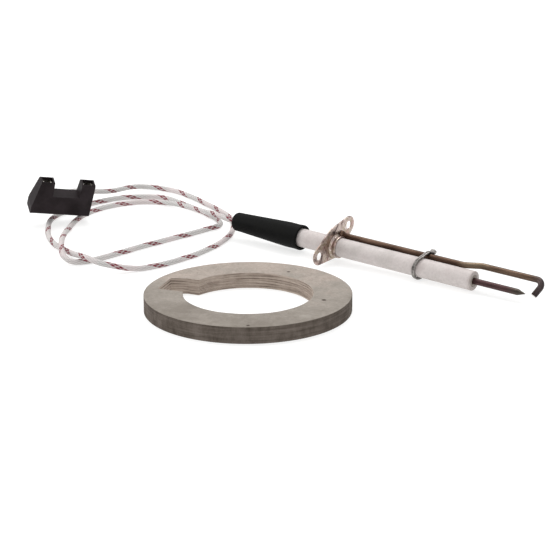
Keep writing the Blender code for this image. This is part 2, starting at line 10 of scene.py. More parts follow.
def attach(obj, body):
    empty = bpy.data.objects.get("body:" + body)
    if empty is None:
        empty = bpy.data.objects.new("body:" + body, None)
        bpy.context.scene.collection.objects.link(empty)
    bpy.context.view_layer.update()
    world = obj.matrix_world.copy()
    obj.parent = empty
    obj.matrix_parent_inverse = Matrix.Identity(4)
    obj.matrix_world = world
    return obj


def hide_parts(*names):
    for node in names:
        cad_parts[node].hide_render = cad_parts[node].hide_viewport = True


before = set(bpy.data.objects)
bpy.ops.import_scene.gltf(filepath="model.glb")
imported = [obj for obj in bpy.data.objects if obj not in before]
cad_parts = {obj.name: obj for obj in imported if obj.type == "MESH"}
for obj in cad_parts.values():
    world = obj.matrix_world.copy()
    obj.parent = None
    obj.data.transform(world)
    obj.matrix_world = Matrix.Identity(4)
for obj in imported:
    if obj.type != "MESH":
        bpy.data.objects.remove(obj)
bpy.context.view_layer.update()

MM = 0.001

# --- Where the assembly lies, as in the CAD -----------------------------------------------------
FLANGE_CENTRE = Vector((-25.6, 60.7, 8.03)) * MM     # flange's front face, on the ceramic's axis
DIP = math.radians(1.59)
SWING = math.radians(-4.33)
ALONG = (Matrix.Translation(FLANGE_CENTRE) @ Matrix.Rotation(SWING, 4, "Z")
         @ Matrix.Rotation(DIP, 4, "Y"))
CERAMIC_R = 5.0 * MM
CERAMIC_FRONT = 84.85 * MM
CERAMIC_REAR = -39.3 * MM
ROD_R = 1.6 * MM                    # both rods
TIP_X = 113.9 * MM
PIN_R = 2.0 * MM
EARTH_ROLL = math.radians(43.0)     # the earth rod's direction from the axis, from straight up
EARTH_NEAR = 7.0 * MM               # its distance from the axis, behind its crank
EARTH_FAR = 8.8 * MM                # and in front of it
CLAMP_X = 53.2 * MM
CLAMP_LEAN = math.radians(9.0)
CLAMP_WIRE_R = 0.6 * MM
PLATE_T = 0.8 * MM
LOBE_R = 4.75 * MM
WAIST_R = 8.7 * MM                  # round middle of the flange plate
SCREW_HOLE_R = 2.15 * MM
HOLE_PITCH = 28.0 * MM
HOLE_LINE_OFFSET = 3.9 * MM         # the screw holes' line runs this far above the ceramic's axis
FLANGE_TILT = math.radians(24.7)
BOOT_MOUTH = -22.0 * MM
BOOT_REAR = -68.7 * MM
BOOT_MOUTH_R = 6.85 * MM
BOOT_NECK_R = 5.25 * MM
BOOT_TAPER = (5.0 * MM, 37.0 * MM)  # from the rear end: where the boot starts and stops widening
LEAD_R = 1.55 * MM
GASKET_AT = Vector((-19.4, -28.7, 0.0)) * MM
GASKET_R, GASKET_HOLE_R, GASKET_T = 50.0 * MM, 31.25 * MM, 8.0 * MM
NOTCH_CORNERS_MM = ((-26, 3.4), (-37.3, 1.3), (-44.2, -3.3), (-39.5, -19.4), (-18, -14.5))

# Route of the lead's centre line, as in the CAD, in millimetres.
LEAD_ROUTE_MM = (
    (-94.5, 65.9, 9.9), (-99.5, 66.3, 10), (-108.2, 71.3, 9.2), (-130.4, 83.2, 6.2),
    (-166.6, 98.8, 2.2), (-185.1, 91.8, 1.6), (-194.1, 70.3, 1.6), (-192.1, 48.8, 1.6),
    (-179.6, 22.8, 2), (-160.1, -4.2, 5.3), (-148.6, -17.2, 4.8), (-142.1, -22.7, 3.6),
    (-136.1, -23.7, 2.2), (-131.1, -18.2, 1.6), (-128.1, -7.2, 1.6), (-124.6, 17.8, 1.6),
    (-115.1, 68.8, 1.6), (-114.6, 78.3, 1.6), (-123.1, 87.3, 1.6), (-161.1, 103.8, 1.6),
    (-181.6, 108.3, 1.6), (-201.1, 91.8, 1.6), (-205.6, 42.3, 1.6), (-187.6, 14.8, 1.6),
    (-168.1, -2.2, 1.6), (-146.6, -12.2, 2.2), (-127.1, -22.7, 5.7), (-114.6, -23.2, 4.4),
    (-99.6, -11.7, 1.6), (-91.6, 15.8, 1.6), (-92.6, 46.8, 1.6), (-100.1, 69.8, 1.6),
    (-116.1, 91.8, 1.6), (-139.6, 106.8, 1.6), (-187.1, 125.8, 1.6), (-206.6, 119.8, 2.3),
    (-205.1, 87.8, 6.3), (-205.4, 57.3, 12.9), (-201.1, 48.7, 14), (-198.4, 46.5, 12.9),
)
LEAD_STEP = 0.42 * MM               # spacing of the cross-sections along the lead
BRAID_YARNS = 8                     # yarns each way round the lead
BRAID_PITCH = 22.0 * MM             # length of one full turn of a yarn


# --- Camera, light and floor --------------------------------------------------------------------
def make_camera():
    data = bpy.data.cameras.new("camera")
    data.sensor_width = 36.0
    data.lens = 97.7
    data.clip_start, data.clip_end = 0.02, 20.0
    camera = bpy.data.objects.new("camera", data)
    bpy.context.collection.objects.link(camera)
    place = Vector((0.3802, -0.5935, 0.2363))
    aim = Vector((-0.0315, 0.0166, 0.0))
    camera.location = place
    camera.rotation_euler = (aim - place).to_track_quat("-Z", "Y").to_euler()
    bpy.context.scene.camera = camera


def make_light(name, place, aim, size, power, colour=(1.0, 1.0, 1.0)):
    data = bpy.data.lights.new(name, "AREA")
    data.shape = "RECTANGLE"
    data.size, data.size_y = size
    data.energy = power
    data.color = colour
    light = bpy.data.objects.new(name, data)
    bpy.context.collection.objects.link(light)
    light.location = place
    light.rotation_euler = (Vector(aim) - Vector(place)).to_track_quat("-Z", "Y").to_euler()


def make_studio():
    make_light("top_softbox", (-0.25, 0.45, 1.1), (-0.05, 0.02, 0.0), (1.1, 0.8), 9.0)
    make_light("left_softbox", (-1.0, -0.35, 0.55), (-0.08, 0.02, 0.0), (0.7, 0.7), 5.0)
    make_light("front_fill", (0.7, -1.0, 0.7), (-0.05, 0.0, 0.0), (0.8, 0.6), 3.0)
    world = bpy.data.worlds.new("studio")
    bpy.context.scene.world = world
    world.use_nodes = True
    tree = world.node_tree
    background = tree.nodes["Background"]
    place = tree.nodes.new("ShaderNodeTexCoord")
    split = tree.nodes.new("ShaderNodeSeparateXYZ")
    ramp = tree.nodes.new("ShaderNodeValToRGB")
    ramp.color_ramp.elements[0].position = 0.0
    ramp.color_ramp.elements[0].color = (0.42, 0.42, 0.43, 1.0)
    ramp.color_ramp.elements[1].position = 0.6
    ramp.color_ramp.elements[1].color = (1.0, 1.0, 1.0, 1.0)
    tree.links.new(place.outputs["Generated"], split.inputs["Vector"])
    tree.links.new(split.outputs["Z"], ramp.inputs["Fac"])
    tree.links.new(ramp.outputs["Color"], background.inputs["Color"])
    background.inputs["Strength"].default_value = 0.75
    view = bpy.context.scene.view_settings
    view.view_transform = "Standard"
    view.look = "None"


def make_floor():
    bm = bmesh.new()
    bmesh.ops.create_grid(bm, x_segments=1, y_segments=1, size=6.0)
    mesh = bpy.data.meshes.new("floor")
    bm.to_mesh(mesh)
    bm.free()
    floor = bpy.data.objects.new("floor", mesh)
    bpy.context.collection.objects.link(floor)
    look = bpy.data.materials.new("pale_floor")
    look.use_nodes = True
    shader = look.node_tree.nodes["Principled BSDF"]
    shader.inputs["Base Color"].default_value = (0.4, 0.4, 0.399, 1.0)
    shader.inputs["Roughness"].default_value = 0.7
    shader.inputs["Specular IOR Level"].default_value = 0.2
    shader.inputs["Emission Color"].default_value = (1.0, 1.0, 0.995, 1.0)
    shader.inputs["Emission Strength"].default_value = 0.66
    mesh.materials.append(look)


# --- Materials ----------------------------------------------------------------------------------
def shade(red, green, blue):
    """A display colour, 0 to 255, as the linear values the shader takes."""
    linear = []
    for level in (red, green, blue):
        level /= 255.0
        linear.append(level / 12.92 if level <= 0.04045 else ((level + 0.055) / 1.055) ** 2.4)
    return (*linear, 1.0)


class Look:
    """A Principled material with its nodes, built up one call at a time."""

    def __init__(self, name, roughness=0.5, metallic=0.0, specular=0.5):
        self.material = bpy.data.materials.new(name)
        self.material.use_nodes = True
        self.tree = self.material.node_tree
        self.shader = self.tree.nodes["Principled BSDF"]
        self.set("Roughness", roughness)
        self.set("Metallic", metallic)
        self.set("Specular IOR Level", specular)
        self.coords = self.tree.nodes.new("ShaderNodeTexCoord").outputs["Object"]

    def set(self, socket, value):
        self.shader.inputs[socket].default_value = value

    def feed(self, socket, output):
        """Link an output to one of the shader's sockets."""
        self.tree.links.new(output, self.shader.inputs[socket])

    def put(self, node, socket, value):
        """Give a node's input a link or a plain value."""
        target = node.inputs[socket]
        if isinstance(value, bpy.types.NodeSocket):
            self.tree.links.new(value, target)
        else:
            target.default_value = value

    def stretched(self, scale):
        """Object coordinates, scaled along each axis."""
        node = self.tree.nodes.new("ShaderNodeMapping")
        self.put(node, "Vector", self.coords)
        self.put(node, "Scale", scale)
        return node.outputs["Vector"]

    def noise(self, scale, detail=4.0, roughness=0.55, stretch=None, distortion=0.0):
        node = self.tree.nodes.new("ShaderNodeTexNoise")
        self.put(node, "Vector", self.coords if stretch is None else self.stretched(stretch))
        self.put(node, "Scale", scale)
        self.put(node, "Detail", detail)
        self.put(node, "Roughness", roughness)
        self.put(node, "Distortion", distortion)
        return node.outputs["Fac"]

    def cells(self, scale):
        """Distance to the nearest point of a random scatter."""
        node = self.tree.nodes.new("ShaderNodeTexVoronoi")
        self.put(node, "Vector", self.coords)
        self.put(node, "Scale", scale)
        return node.outputs["Distance"]

    def part(self, axis):
        """One object coordinate."""
        node = self.tree.nodes.new("ShaderNodeSeparateXYZ")
        self.put(node, "Vector", self.coords)
        return node.outputs[axis]

    def attribute(self, name):
        """A value stored on the mesh."""
        node = self.tree.nodes.new("ShaderNodeAttribute")
        node.attribute_name = name
        return node.outputs["Fac"]

    def math(self, operation, first, second=0.0):
        node = self.tree.nodes.new("ShaderNodeMath")
        node.operation = operation
        self.put(node, 0, first)
        self.put(node, 1, second)
        return node.outputs["Value"]

    def span(self, value, low, high, to_low=0.0, to_high=1.0):
        """Map a value from low..high to to_low..to_high, held at both ends."""
        node = self.tree.nodes.new("ShaderNodeMapRange")
        self.put(node, "Value", value)
        for socket, number in (("From Min", low), ("From Max", high), ("To Min", to_low),
                               ("To Max", to_high)):
            self.put(node, socket, number)
        return node.outputs["Result"]

    def ramp(self, value, *stops):
        """A colour for a value, between (position, colour) stops."""
        node = self.tree.nodes.new("ShaderNodeValToRGB")
        elements = node.color_ramp.elements
        while len(elements) < len(stops):
            elements.new(0.5)
        for element, (position, colour) in zip(elements, stops):
            element.position = position
            element.color = colour
        self.put(node, "Fac", value)
        return node.outputs["Color"]

    def mix(self, factor, first, second):
        """Blend two colours. The node's colour sockets are numbers 6, 7 and, for output, 2."""
        node = self.tree.nodes.new("ShaderNodeMix")
        node.data_type = "RGBA"
        self.put(node, 0, factor)
        self.put(node, 6, first)
        self.put(node, 7, second)
        return node.outputs[2]

    def bump(self, height, strength, distance):
        node = self.tree.nodes.new("ShaderNodeBump")
        self.put(node, "Height", height)
        self.put(node, "Strength", strength)
        self.put(node, "Distance", distance)
        self.feed("Normal", node.outputs["Normal"])


def ceramic_look():
    look = Look("ceramic", 0.5, specular=0.4)
    broad = look.noise(90.0, 3.0)
    grain = look.noise(900.0, 4.0, 0.7)
    body = look.ramp(broad, (0.3, shade(190, 180, 177)), (0.5, shade(201, 193, 190)),
                     (0.72, shade(186, 179, 175)))
    body = look.mix(look.span(grain, 0.35, 0.7, 0.0, 0.35), body, shade(160, 152, 150))
    scorch = look.span(look.part("X"), CERAMIC_FRONT - 1.5 * MM, CERAMIC_FRONT, 0.0, 0.45)
    body = look.mix(scorch, body, shade(150, 138, 132))
    specks = look.span(look.cells(1100.0), 0.08, 0.16, 0.5, 0.0)
    patches = look.span(look.noise(220.0, 2.0), 0.52, 0.66)
    look.feed("Base Color", look.mix(look.math("MULTIPLY", specks, patches), body,
                                     shade(120, 112, 108)))
    look.feed("Roughness", look.span(grain, 0.3, 0.7, 0.42, 0.62))
    look.bump(grain, 0.25, 0.06 * MM)
    return look.material


def cement_look():
    look = Look("cement", 0.9, specular=0.2)
    grain = look.noise(1400.0, 5.0, 0.75)
    look.feed("Base Color", look.ramp(grain, (0.3, shade(120, 112, 104)),
                                      (0.7, shade(178, 170, 162))))
    look.bump(grain, 0.8, 0.15 * MM)
    return look.material


def rod_look(name, change, from_colours, to_colours, fade=None, scorch=None):
    """Heat-tinted alloy: its tint changes along the rod, can change back, and can end scorched."""
    look = Look(name, 0.36, metallic=1.0)
    along = look.span(look.part("X"), *change)
    if fade:
        along = look.math("MULTIPLY", along, look.span(look.part("X"), *fade, 1.0, 0.15))
    streaks = look.noise(260.0, 4.0, 0.6, stretch=(0.16, 1.0, 1.0))
    near = look.ramp(streaks, (0.3, shade(*from_colours[0])), (0.7, shade(*from_colours[1])))
    far = look.ramp(streaks, (0.3, shade(*to_colours[0])), (0.7, shade(*to_colours[1])))
    tint = look.mix(along, near, far)
    if scorch:
        soot = look.ramp(streaks, (0.3, shade(30, 25, 26)), (0.7, shade(84, 74, 74)))
        tint = look.mix(look.span(look.part("X"), *scorch), tint, soot)
    scale = look.noise(1500.0, 3.0, 0.7)
    tint = look.mix(look.span(scale, 0.55, 0.75, 0.0, 0.45), tint, shade(48, 38, 34))
    look.feed("Base Color", tint)
    look.feed("Roughness", look.span(streaks, 0.3, 0.7, 0.28, 0.5))
    look.bump(look.noise(900.0, 4.0, 0.65, stretch=(0.12, 1.0, 1.0)), 0.35, 0.05 * MM)
    return look.material


def cut_face_look():
    look = Look("sheared_steel_glint", 0.5, metallic=0.6)
    lines = look.noise(1600.0, 3.0, 0.6, stretch=(1.0, 0.2, 1.0))
    # Bare sheared steel, its colours lightened nearly to white as a painted reflection of the bright
    # floor.
    look.feed("Base Color", look.ramp(lines, (0.3, shade(196, 192, 188)),
                                      (0.7, shade(244, 241, 238))))
    look.bump(lines, 0.5, 0.08 * MM)
    return look.material


def flange_look():
    """Stainless sheet with reddish, olive and purple-brown heat tints; its darkest and palest tints
    are also painted shade and painted highlights.
    """
    look = Look("flange_steel", 0.33, metallic=1.0)
    tint_and_sheen_blotch = look.noise(150.0, 5.0, 0.68, distortion=0.8)
    # Heat tints, with the darkest stop as painted shade and the two palest stops as painted
    # highlights.
    tint = look.ramp(tint_and_sheen_blotch, (0.34, shade(80, 66, 66)), (0.44, shade(156, 140, 132)),
                     (0.5, shade(206, 190, 184)), (0.57, shade(158, 145, 122)),
                     (0.66, shade(220, 207, 204)))
    rose = look.span(look.noise(160.0, 2.0), 0.5, 0.66, 0.0, 0.5)
    tint = look.mix(rose, tint, shade(164, 122, 116))
    fine = look.noise(1300.0, 4.0, 0.7)
    tint = look.mix(look.span(fine, 0.5, 0.72, 0.0, 0.5), tint, shade(84, 70, 66))
    look.feed("Base Color", tint)
    look.feed("Roughness", look.span(tint_and_sheen_blotch, 0.3, 0.7, 0.24, 0.46))
    look.bump(fine, 0.3, 0.05 * MM)
    return look.material


def steel_look(name, dark, light, roughness):
    look = Look(name, roughness, metallic=1.0)
    streaks = look.noise(700.0, 4.0, 0.6)
    look.feed("Base Color", look.ramp(streaks, (0.3, shade(*dark)), (0.7, shade(*light))))
    look.feed("Roughness", look.span(streaks, 0.3, 0.7, roughness - 0.08, roughness + 0.1))
    look.bump(streaks, 0.25, 0.03 * MM)
    return look.material


def rubber_look():
    look = Look("black_rubber", 0.6, specular=0.05)
    dust = look.noise(140.0, 5.0, 0.65)
    grain = look.noise(2600.0, 3.0, 0.6)
    base = look.ramp(dust, (0.35, shade(12, 12, 12)), (0.7, shade(20, 20, 19)))
    look.feed("Base Color", look.mix(look.span(grain, 0.6, 0.8, 0.0, 0.4), base,
                                     shade(48, 48, 45)))
    look.feed("Roughness", look.span(dust, 0.3, 0.7, 0.46, 0.66))
    look.bump(grain, 0.3, 0.05 * MM)
    return look.material


def plastic_look():
    look = Look("black_plastic", 0.55, specular=0.05)
    grain = look.noise(2200.0, 3.0, 0.6)
    broad = look.noise(110.0, 3.0, 0.6)
    look.feed("Base Color", look.ramp(broad, (0.35, shade(33, 28, 29)), (0.7, shade(47, 41, 43))))
    look.feed("Roughness", look.span(broad, 0.3, 0.7, 0.44, 0.58))
    look.bump(grain, 0.4, 0.06 * MM)
    return look.material


def braid_look():
    """Glass-fibre braid: yarns each way, and a pair of red tracer threads."""
    look = Look("glass_braid", 0.75, specular=0.25)
    along = look.attribute("braid_along")
    angle = look.math("ARCTAN2", look.attribute("braid_sin"), look.attribute("braid_cos"))
    turn = look.math("MULTIPLY", angle, BRAID_YARNS / (2 * math.pi))
    climb = look.math("MULTIPLY", along, BRAID_YARNS / BRAID_PITCH)
    right = look.math("FRACT", look.math("ADD", look.math("SUBTRACT", turn, climb), 4096.0))
    left = look.math("FRACT", look.math("ADD", look.math("ADD", turn, climb), 4096.0))
    gap_right = look.math("ABSOLUTE", look.math("SUBTRACT", right, 0.5))
    gap_left = look.math("ABSOLUTE", look.math("SUBTRACT", left, 0.5))
    gap = look.span(look.math("MAXIMUM", gap_right, gap_left), 0.36, 0.5)
    fibre = look.noise(2400.0, 4.0, 0.7)
    body = look.ramp(fibre, (0.3, shade(176, 174, 172)), (0.7, shade(214, 211, 209)))
    body = look.mix(look.math("MULTIPLY", gap, 0.75), body, shade(112, 108, 106))
    warm = look.span(look.noise(46.0, 2.0), 0.46, 0.62, 0.0, 0.5)
    body = look.mix(warm, body, shade(205, 190, 190))
    lap = look.math("FRACT", look.math("ADD", look.math("SUBTRACT", look.math(
        "MULTIPLY", angle, 1 / (2 * math.pi)), look.math("DIVIDE", along, BRAID_PITCH)), 512.0))
    thread = look.math("ABSOLUTE", look.math("SUBTRACT", lap, 0.5))
    inner = look.span(look.math("ABSOLUTE", look.math("SUBTRACT", thread, 0.072)), 0.048, 0.062,
                      1.0, 0.0)
    pair = look.math("FRACT", look.math("MULTIPLY", look.math("ADD", turn, climb), 0.5))
    over = look.span(look.math("ABSOLUTE", look.math("SUBTRACT", pair, 0.5)), 0.3, 0.38, 1.0, 0.35)
    mask = look.math("MULTIPLY", inner, over)
    red = look.ramp(fibre, (0.3, shade(84, 6, 24)), (0.7, shade(128, 24, 44)))
    look.feed("Base Color", look.mix(mask, body, red))
    look.bump(fibre, 0.5, 0.06 * MM)
    return look.material


def gasket_face_look():
    look = Look("gasket_fibre", 0.9, specular=0.15)
    fibres = look.noise(420.0, 6.0, 0.72, distortion=1.2)
    tone_and_sheen = look.noise(60.0, 4.0, 0.6)
    # Random tone, then the top face painted lighter towards the back and the left: a painted sheen of
    # the studio light at a grazing angle.
    tone_and_sheen = look.math("ADD", tone_and_sheen, look.math("MULTIPLY", look.part("Y"), 4.5))
    tone_and_sheen = look.math("ADD", tone_and_sheen, look.math("MULTIPLY", look.part("X"), -2.5))
    base = look.ramp(tone_and_sheen, (0.25, shade(130, 123, 115)), (0.5, shade(153, 146, 138)),
                     (0.75, shade(171, 159, 150)))
    base = look.mix(look.span(fibres, 0.38, 0.7, 0.0, 0.55), base, shade(116, 108, 99))
    flecks = look.span(look.cells(60.0), 0.05, 0.08, 1.0, 0.0)
    sparse = look.span(look.noise(30.0, 1.0), 0.4, 0.43)
    look.feed("Base Color", look.mix(look.math("MULTIPLY", flecks, sparse), base,
                                     shade(70, 60, 54)))
    look.bump(fibres, 0.7, 0.25 * MM)
    return look.material


def gasket_wall_look(name, dark, light, line, layer, strength, mottled):
    """Cut edge of the laminated sheet: thin dark lines run round it between the layers."""
    look = Look(name, 0.92, specular=0.12)
    streaks = look.noise(30.0, 5.0, 0.75, stretch=(0.6, 0.6, 34.0))
    mottle = look.noise(150.0, 4.0, 0.7, stretch=(1.0, 1.0, 0.5))
    blend = look.math("ADD", look.math("MULTIPLY", streaks, 1.0 - mottled),
                      look.math("MULTIPLY", mottle, mottled))
    base = look.ramp(blend, (0.38, shade(*dark)), (0.6, shade(*light)))
    waver = look.math("MULTIPLY", look.noise(34.0, 2.0, stretch=(1.0, 1.0, 0.1)), 1.6)
    height = look.math("ADD", look.math("DIVIDE", look.part("Z"), layer), waver)
    gap = look.math("ABSOLUTE", look.math("SUBTRACT", look.math("FRACT", height), 0.5))
    seam = look.span(gap, 0.03, 0.12, strength, 0.0)
    broken = look.span(look.noise(80.0, 3.0, stretch=(1.0, 1.0, 5.0)), 0.42, 0.6)
    base = look.mix(look.math("MULTIPLY", seam, broken), base, shade(*line))
    look.feed("Base Color", base)
    look.bump(streaks, 0.8, 0.3 * MM)
    return look.material


# --- Mesh building ------------------------------------------------------------------------------
def add_piece(name, mesh, looks, body, nodes, place=None):
    """Link a piece, put it in place, hang it on the body it rides on, and hide the CAD nodes it stands
    for.
    """
    for look in looks:
        mesh.materials.append(look)
    piece = bpy.data.objects.new(name, mesh)
    bpy.context.collection.objects.link(piece)
    if place is not None:
        piece.matrix_world = place
    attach(piece, body)
    if nodes:
        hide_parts(*nodes)
    return piece


def finish_mesh(name, bm, sharp=35.0):
    bmesh.ops.recalc_face_normals(bm, faces=bm.faces)
    mesh = bpy.data.meshes.new(name)
    bm.to_mesh(mesh)
    bm.free()
    mesh.shade_smooth()
    mesh.set_sharp_from_angle(angle=math.radians(sharp))
    return mesh


def eased(profile, radius, steps=3):
    """Round the corners of a closed (x, radius) outline."""
    points = [Vector(point) for point in profile]
    outline = []
    count = len(points)
    for index, corner in enumerate(points):
        back = points[index - 1] - corner
        ahead = points[(index + 1) % count] - corner
        if corner.y == 0.0 or back.angle(ahead) > math.radians(170):
            outline.append(corner)
            continue
        reach = min(radius, back.length * 0.45, ahead.length * 0.45)
        start = corner + back.normalized() * reach
        end = corner + ahead.normalized() * reach
        for step in range(steps + 1):
            t = step / steps
            outline.append(start.lerp(corner, t).lerp(corner.lerp(end, t), t))
    return outline


def turned(name, profile, sides=72, centre=(0.0, 0.0), ripple=0.0):
    """Turn a closed (x, radius) outline about the X axis."""
    bm = bmesh.new()
    rings = []
    for x, radius in profile:
        if radius < 1e-7:
            rings.append([bm.verts.new((x, *centre))])
            continue
        ring = []
        for step in range(sides):
            angle = 2 * math.pi * step / sides
            out = Vector((x, math.cos(angle) * radius, math.sin(angle) * radius))
            if ripple:
                out += Vector((0, out.y, out.z)).normalized() * noise.noise(out * 700) * ripple
            ring.append(bm.verts.new((out.x, out.y + centre[0], out.z + centre[1])))
        rings.append(ring)
    for here, there in zip(rings, rings[1:] + rings[:1]):
        for step in range(sides):
            after = (step + 1) % sides
            if len(here) > 1 and len(there) > 1:
                bm.faces.new((here[step], here[after], there[after], there[step]))
            elif len(here) > 1:
                bm.faces.new((here[step], here[after], there[0]))
            elif len(there) > 1:
                bm.faces.new((here[0], there[after], there[step]))
    return finish_mesh(name, bm)


def spaced(points, gap):
    """Points evenly spaced along a polyline, as an array."""
    points = np.array([tuple(point) for point in points])
    steps = np.linalg.norm(np.diff(points, axis=0), axis=1)
    reach = np.concatenate(([0.0], np.cumsum(steps)))
    marks = np.linspace(0.0, reach[-1], max(2, round(reach[-1] / gap) + 1))
    return np.stack([np.interp(marks, reach, points[:, axis]) for axis in range(3)], axis=1)


def carried_frames(path, closed=False):
    """Two unit vectors across the path at each point, carried along without twisting."""
    ahead = np.gradient(path, axis=0)
    if closed:
        ahead = np.roll(path, -1, axis=0) - np.roll(path, 1, axis=0)
    ahead /= np.linalg.norm(ahead, axis=1)[:, None]
    seed = np.array((0.0, 0.0, 1.0)) if abs(ahead[0][2]) < 0.9 else np.array((0.0, 1.0, 0.0))
    side = np.cross(ahead[0], seed)
    sides, ups = [], []
    for direction in ahead:
        side = side - direction * np.dot(side, direction)
        side = side / np.linalg.norm(side)
        sides.append(side)
        ups.append(np.cross(direction, side))
    return np.array(sides), np.array(ups)


def swept(name, path, radii, count, closed=False, cap_look=0):
    """A tube of count sides along the path. radii holds a radius for each point and side."""
    sides, ups = carried_frames(path, closed)
    angles = np.arange(count) * 2 * math.pi / count
    radii = np.broadcast_to(radii, (len(path), count))
    ring = (sides[:, None, :] * np.cos(angles)[None, :, None]
            + ups[:, None, :] * np.sin(angles)[None, :, None])
    points = (path[:, None, :] + ring * radii[:, :, None]).reshape(-1, 3)
    faces = []
    rows = len(path)
    for row in range(rows if closed else rows - 1):
        here, there = row * count, (row + 1) % rows * count
        for step in range(count):
            after = (step + 1) % count
            faces.append((here + step, here + after, there + after, there + step))
    if not closed:
        faces.append(tuple(range(count - 1, -1, -1)))
        faces.append(tuple(range((rows - 1) * count, rows * count)))
    mesh = bpy.data.meshes.new(name)
    mesh.from_pydata(points.tolist(), [], faces)
    if not closed:
        mesh.polygons[len(faces) - 1].material_index = cap_look
    bm = bmesh.new()
    bm.from_mesh(mesh)
    bmesh.ops.recalc_face_normals(bm, faces=bm.faces)
    bm.to_mesh(mesh)
    bm.free()
    mesh.shade_smooth()
    mesh.set_sharp_from_angle(angle=math.radians(45))
    return mesh


def smooth_curve(points, per_span):
    """Centripetal Catmull-Rom curve through the points."""
    points = [Vector(point) for point in points]
    padded = [2 * points[0] - points[1], *points, 2 * points[-1] - points[-2]]
    curve = []
    for span in range(len(padded) - 3):
        p0, p1, p2, p3 = padded[span:span + 4]
        t1 = (p1 - p0).length ** 0.5
        t2 = t1 + (p2 - p1).length ** 0.5
        t3 = t2 + (p3 - p2).length ** 0.5
        for step in range(per_span):
            t = t1 + (t2 - t1) * step / per_span
            a1 = p0.lerp(p1, t / t1)
            a2 = p1.lerp(p2, (t - t1) / (t2 - t1))
            a3 = p2.lerp(p3, (t - t2) / (t3 - t2))
            b1 = a1.lerp(a2, t / t2)
            b2 = a2.lerp(a3, (t - t1) / (t3 - t1))
            curve.append(b1.lerp(b2, (t - t1) / (t2 - t1)))
    curve.append(points[-1])
    return curve


def rounded_path(corners, radius, steps=12):
    """Replace each inner corner of a path by an arc of the given radius."""
    path = [corners[0]]
    for before, corner, after in zip(corners, corners[1:], corners[2:]):
        back = (before - corner).normalized()
        ahead = (after - corner).normalized()
        half = back.angle(ahead) / 2
        centre = corner + (back + ahead).normalized() * (radius / math.sin(half))
        start = corner + back * (radius / math.tan(half)) - centre
        turn = start.cross(corner + ahead * (radius / math.tan(half)) - centre).normalized()
        for step in range(steps + 1):
            path.append(centre + Matrix.Rotation((math.pi - 2 * half) * step / steps, 3, turn)
                        @ start)
    path.append(corners[-1])
    return path


def arc(centre, radius, start, end, steps):
    angles = [start + (end - start) * step / steps for step in range(steps + 1)]
    return [(centre[0] + radius * math.cos(a), centre[1] + radius * math.sin(a)) for a in angles]


def belt(circles, steps):
    """Outline of a band stretched round circles, each (centre, radius), listed anticlockwise."""
    outline = []
    count = len(circles)
    for index in range(count):
        centre, radius = circles[index]
        ends = []
        for a, b in ((circles[index - 1], circles[index]),
                     (circles[index], circles[(index + 1) % count])):
            run = Vector(b[0]) - Vector(a[0])
            ends.append(math.atan2(run.y, run.x) - math.acos((a[1] - b[1]) / run.length))
        while ends[1] < ends[0]:
            ends[1] += 2 * math.pi
        outline += arc(centre, radius, ends[0], ends[1], steps)
    return outline


def sheet_metal(name, outlines, thickness, bevel):
    """A flat plate in the YZ plane with rounded edges, which take the second material."""
    curve = bpy.data.curves.new(name, "CURVE")
    curve.dimensions = "2D"
    curve.fill_mode = "BOTH"
    curve.extrude = thickness / 2 - bevel
    curve.bevel_depth = bevel
    curve.bevel_resolution = 2
    curve.offset = -bevel
    for outline in outlines:
        spline = curve.splines.new("POLY")
        spline.points.add(len(outline) - 1)
        for point, (a, b) in zip(spline.points, outline):
            point.co = (a, b, 0.0, 1.0)
        spline.use_cyclic_u = True
    holder = bpy.data.objects.new(name, curve)
    bpy.context.collection.objects.link(holder)
    bpy.context.view_layer.update()
    mesh = bpy.data.meshes.new_from_object(
        holder.evaluated_get(bpy.context.evaluated_depsgraph_get()))
    bpy.data.objects.remove(holder)
    upright = Matrix(((0, 0, 1, -thickness / 2), (1, 0, 0, 0), (0, 1, 0, 0), (0, 0, 0, 1)))
    mesh.transform(upright)
    for face in mesh.polygons:
        face.material_index = 1 if abs(face.normal.x) < 0.7 else 0
    bm = bmesh.new()
    bm.from_mesh(mesh)
    bmesh.ops.remove_doubles(bm, verts=bm.verts, dist=1e-6)
    bmesh.ops.recalc_face_normals(bm, faces=bm.faces)
    bm.to_mesh(mesh)
    bm.free()
    mesh.materials.clear()
    mesh.shade_smooth()
    mesh.set_sharp_from_angle(angle=math.radians(40))
    return mesh


def cut(piece, tool_mesh, place):
    """Boolean a hidden cutter out of a piece and keep the result in its mesh."""
    tool = bpy.data.objects.new("cutter", tool_mesh)
    bpy.context.collection.objects.link(tool)
    tool.matrix_world = place
    change = piece.modifiers.new("cut", "BOOLEAN")
    change.operation = "DIFFERENCE"
    change.solver = "EXACT"
    change.object = tool
    bpy.context.view_layer.update()
    result = bpy.data.meshes.new_from_object(
        piece.evaluated_get(bpy.context.evaluated_depsgraph_get()))
    piece.modifiers.remove(change)
    piece.data = result
    bpy.data.objects.remove(tool)


# --- Electrode ----------------------------------------------------------------------------------
def flange_point(along, above):
    """A point of the flange plate, from its tilted centre line, as (y, z)."""
    return (along * math.cos(FLANGE_TILT) - above * math.sin(FLANGE_TILT),
            along * math.sin(FLANGE_TILT) + above * math.cos(FLANGE_TILT))


def earth_offset(distance, x=0.0):
    """A point at a distance from the ceramic's axis, on the earth rod's side of it."""
    return Vector((x, distance * math.sin(EARTH_ROLL), distance * math.cos(EARTH_ROLL)))


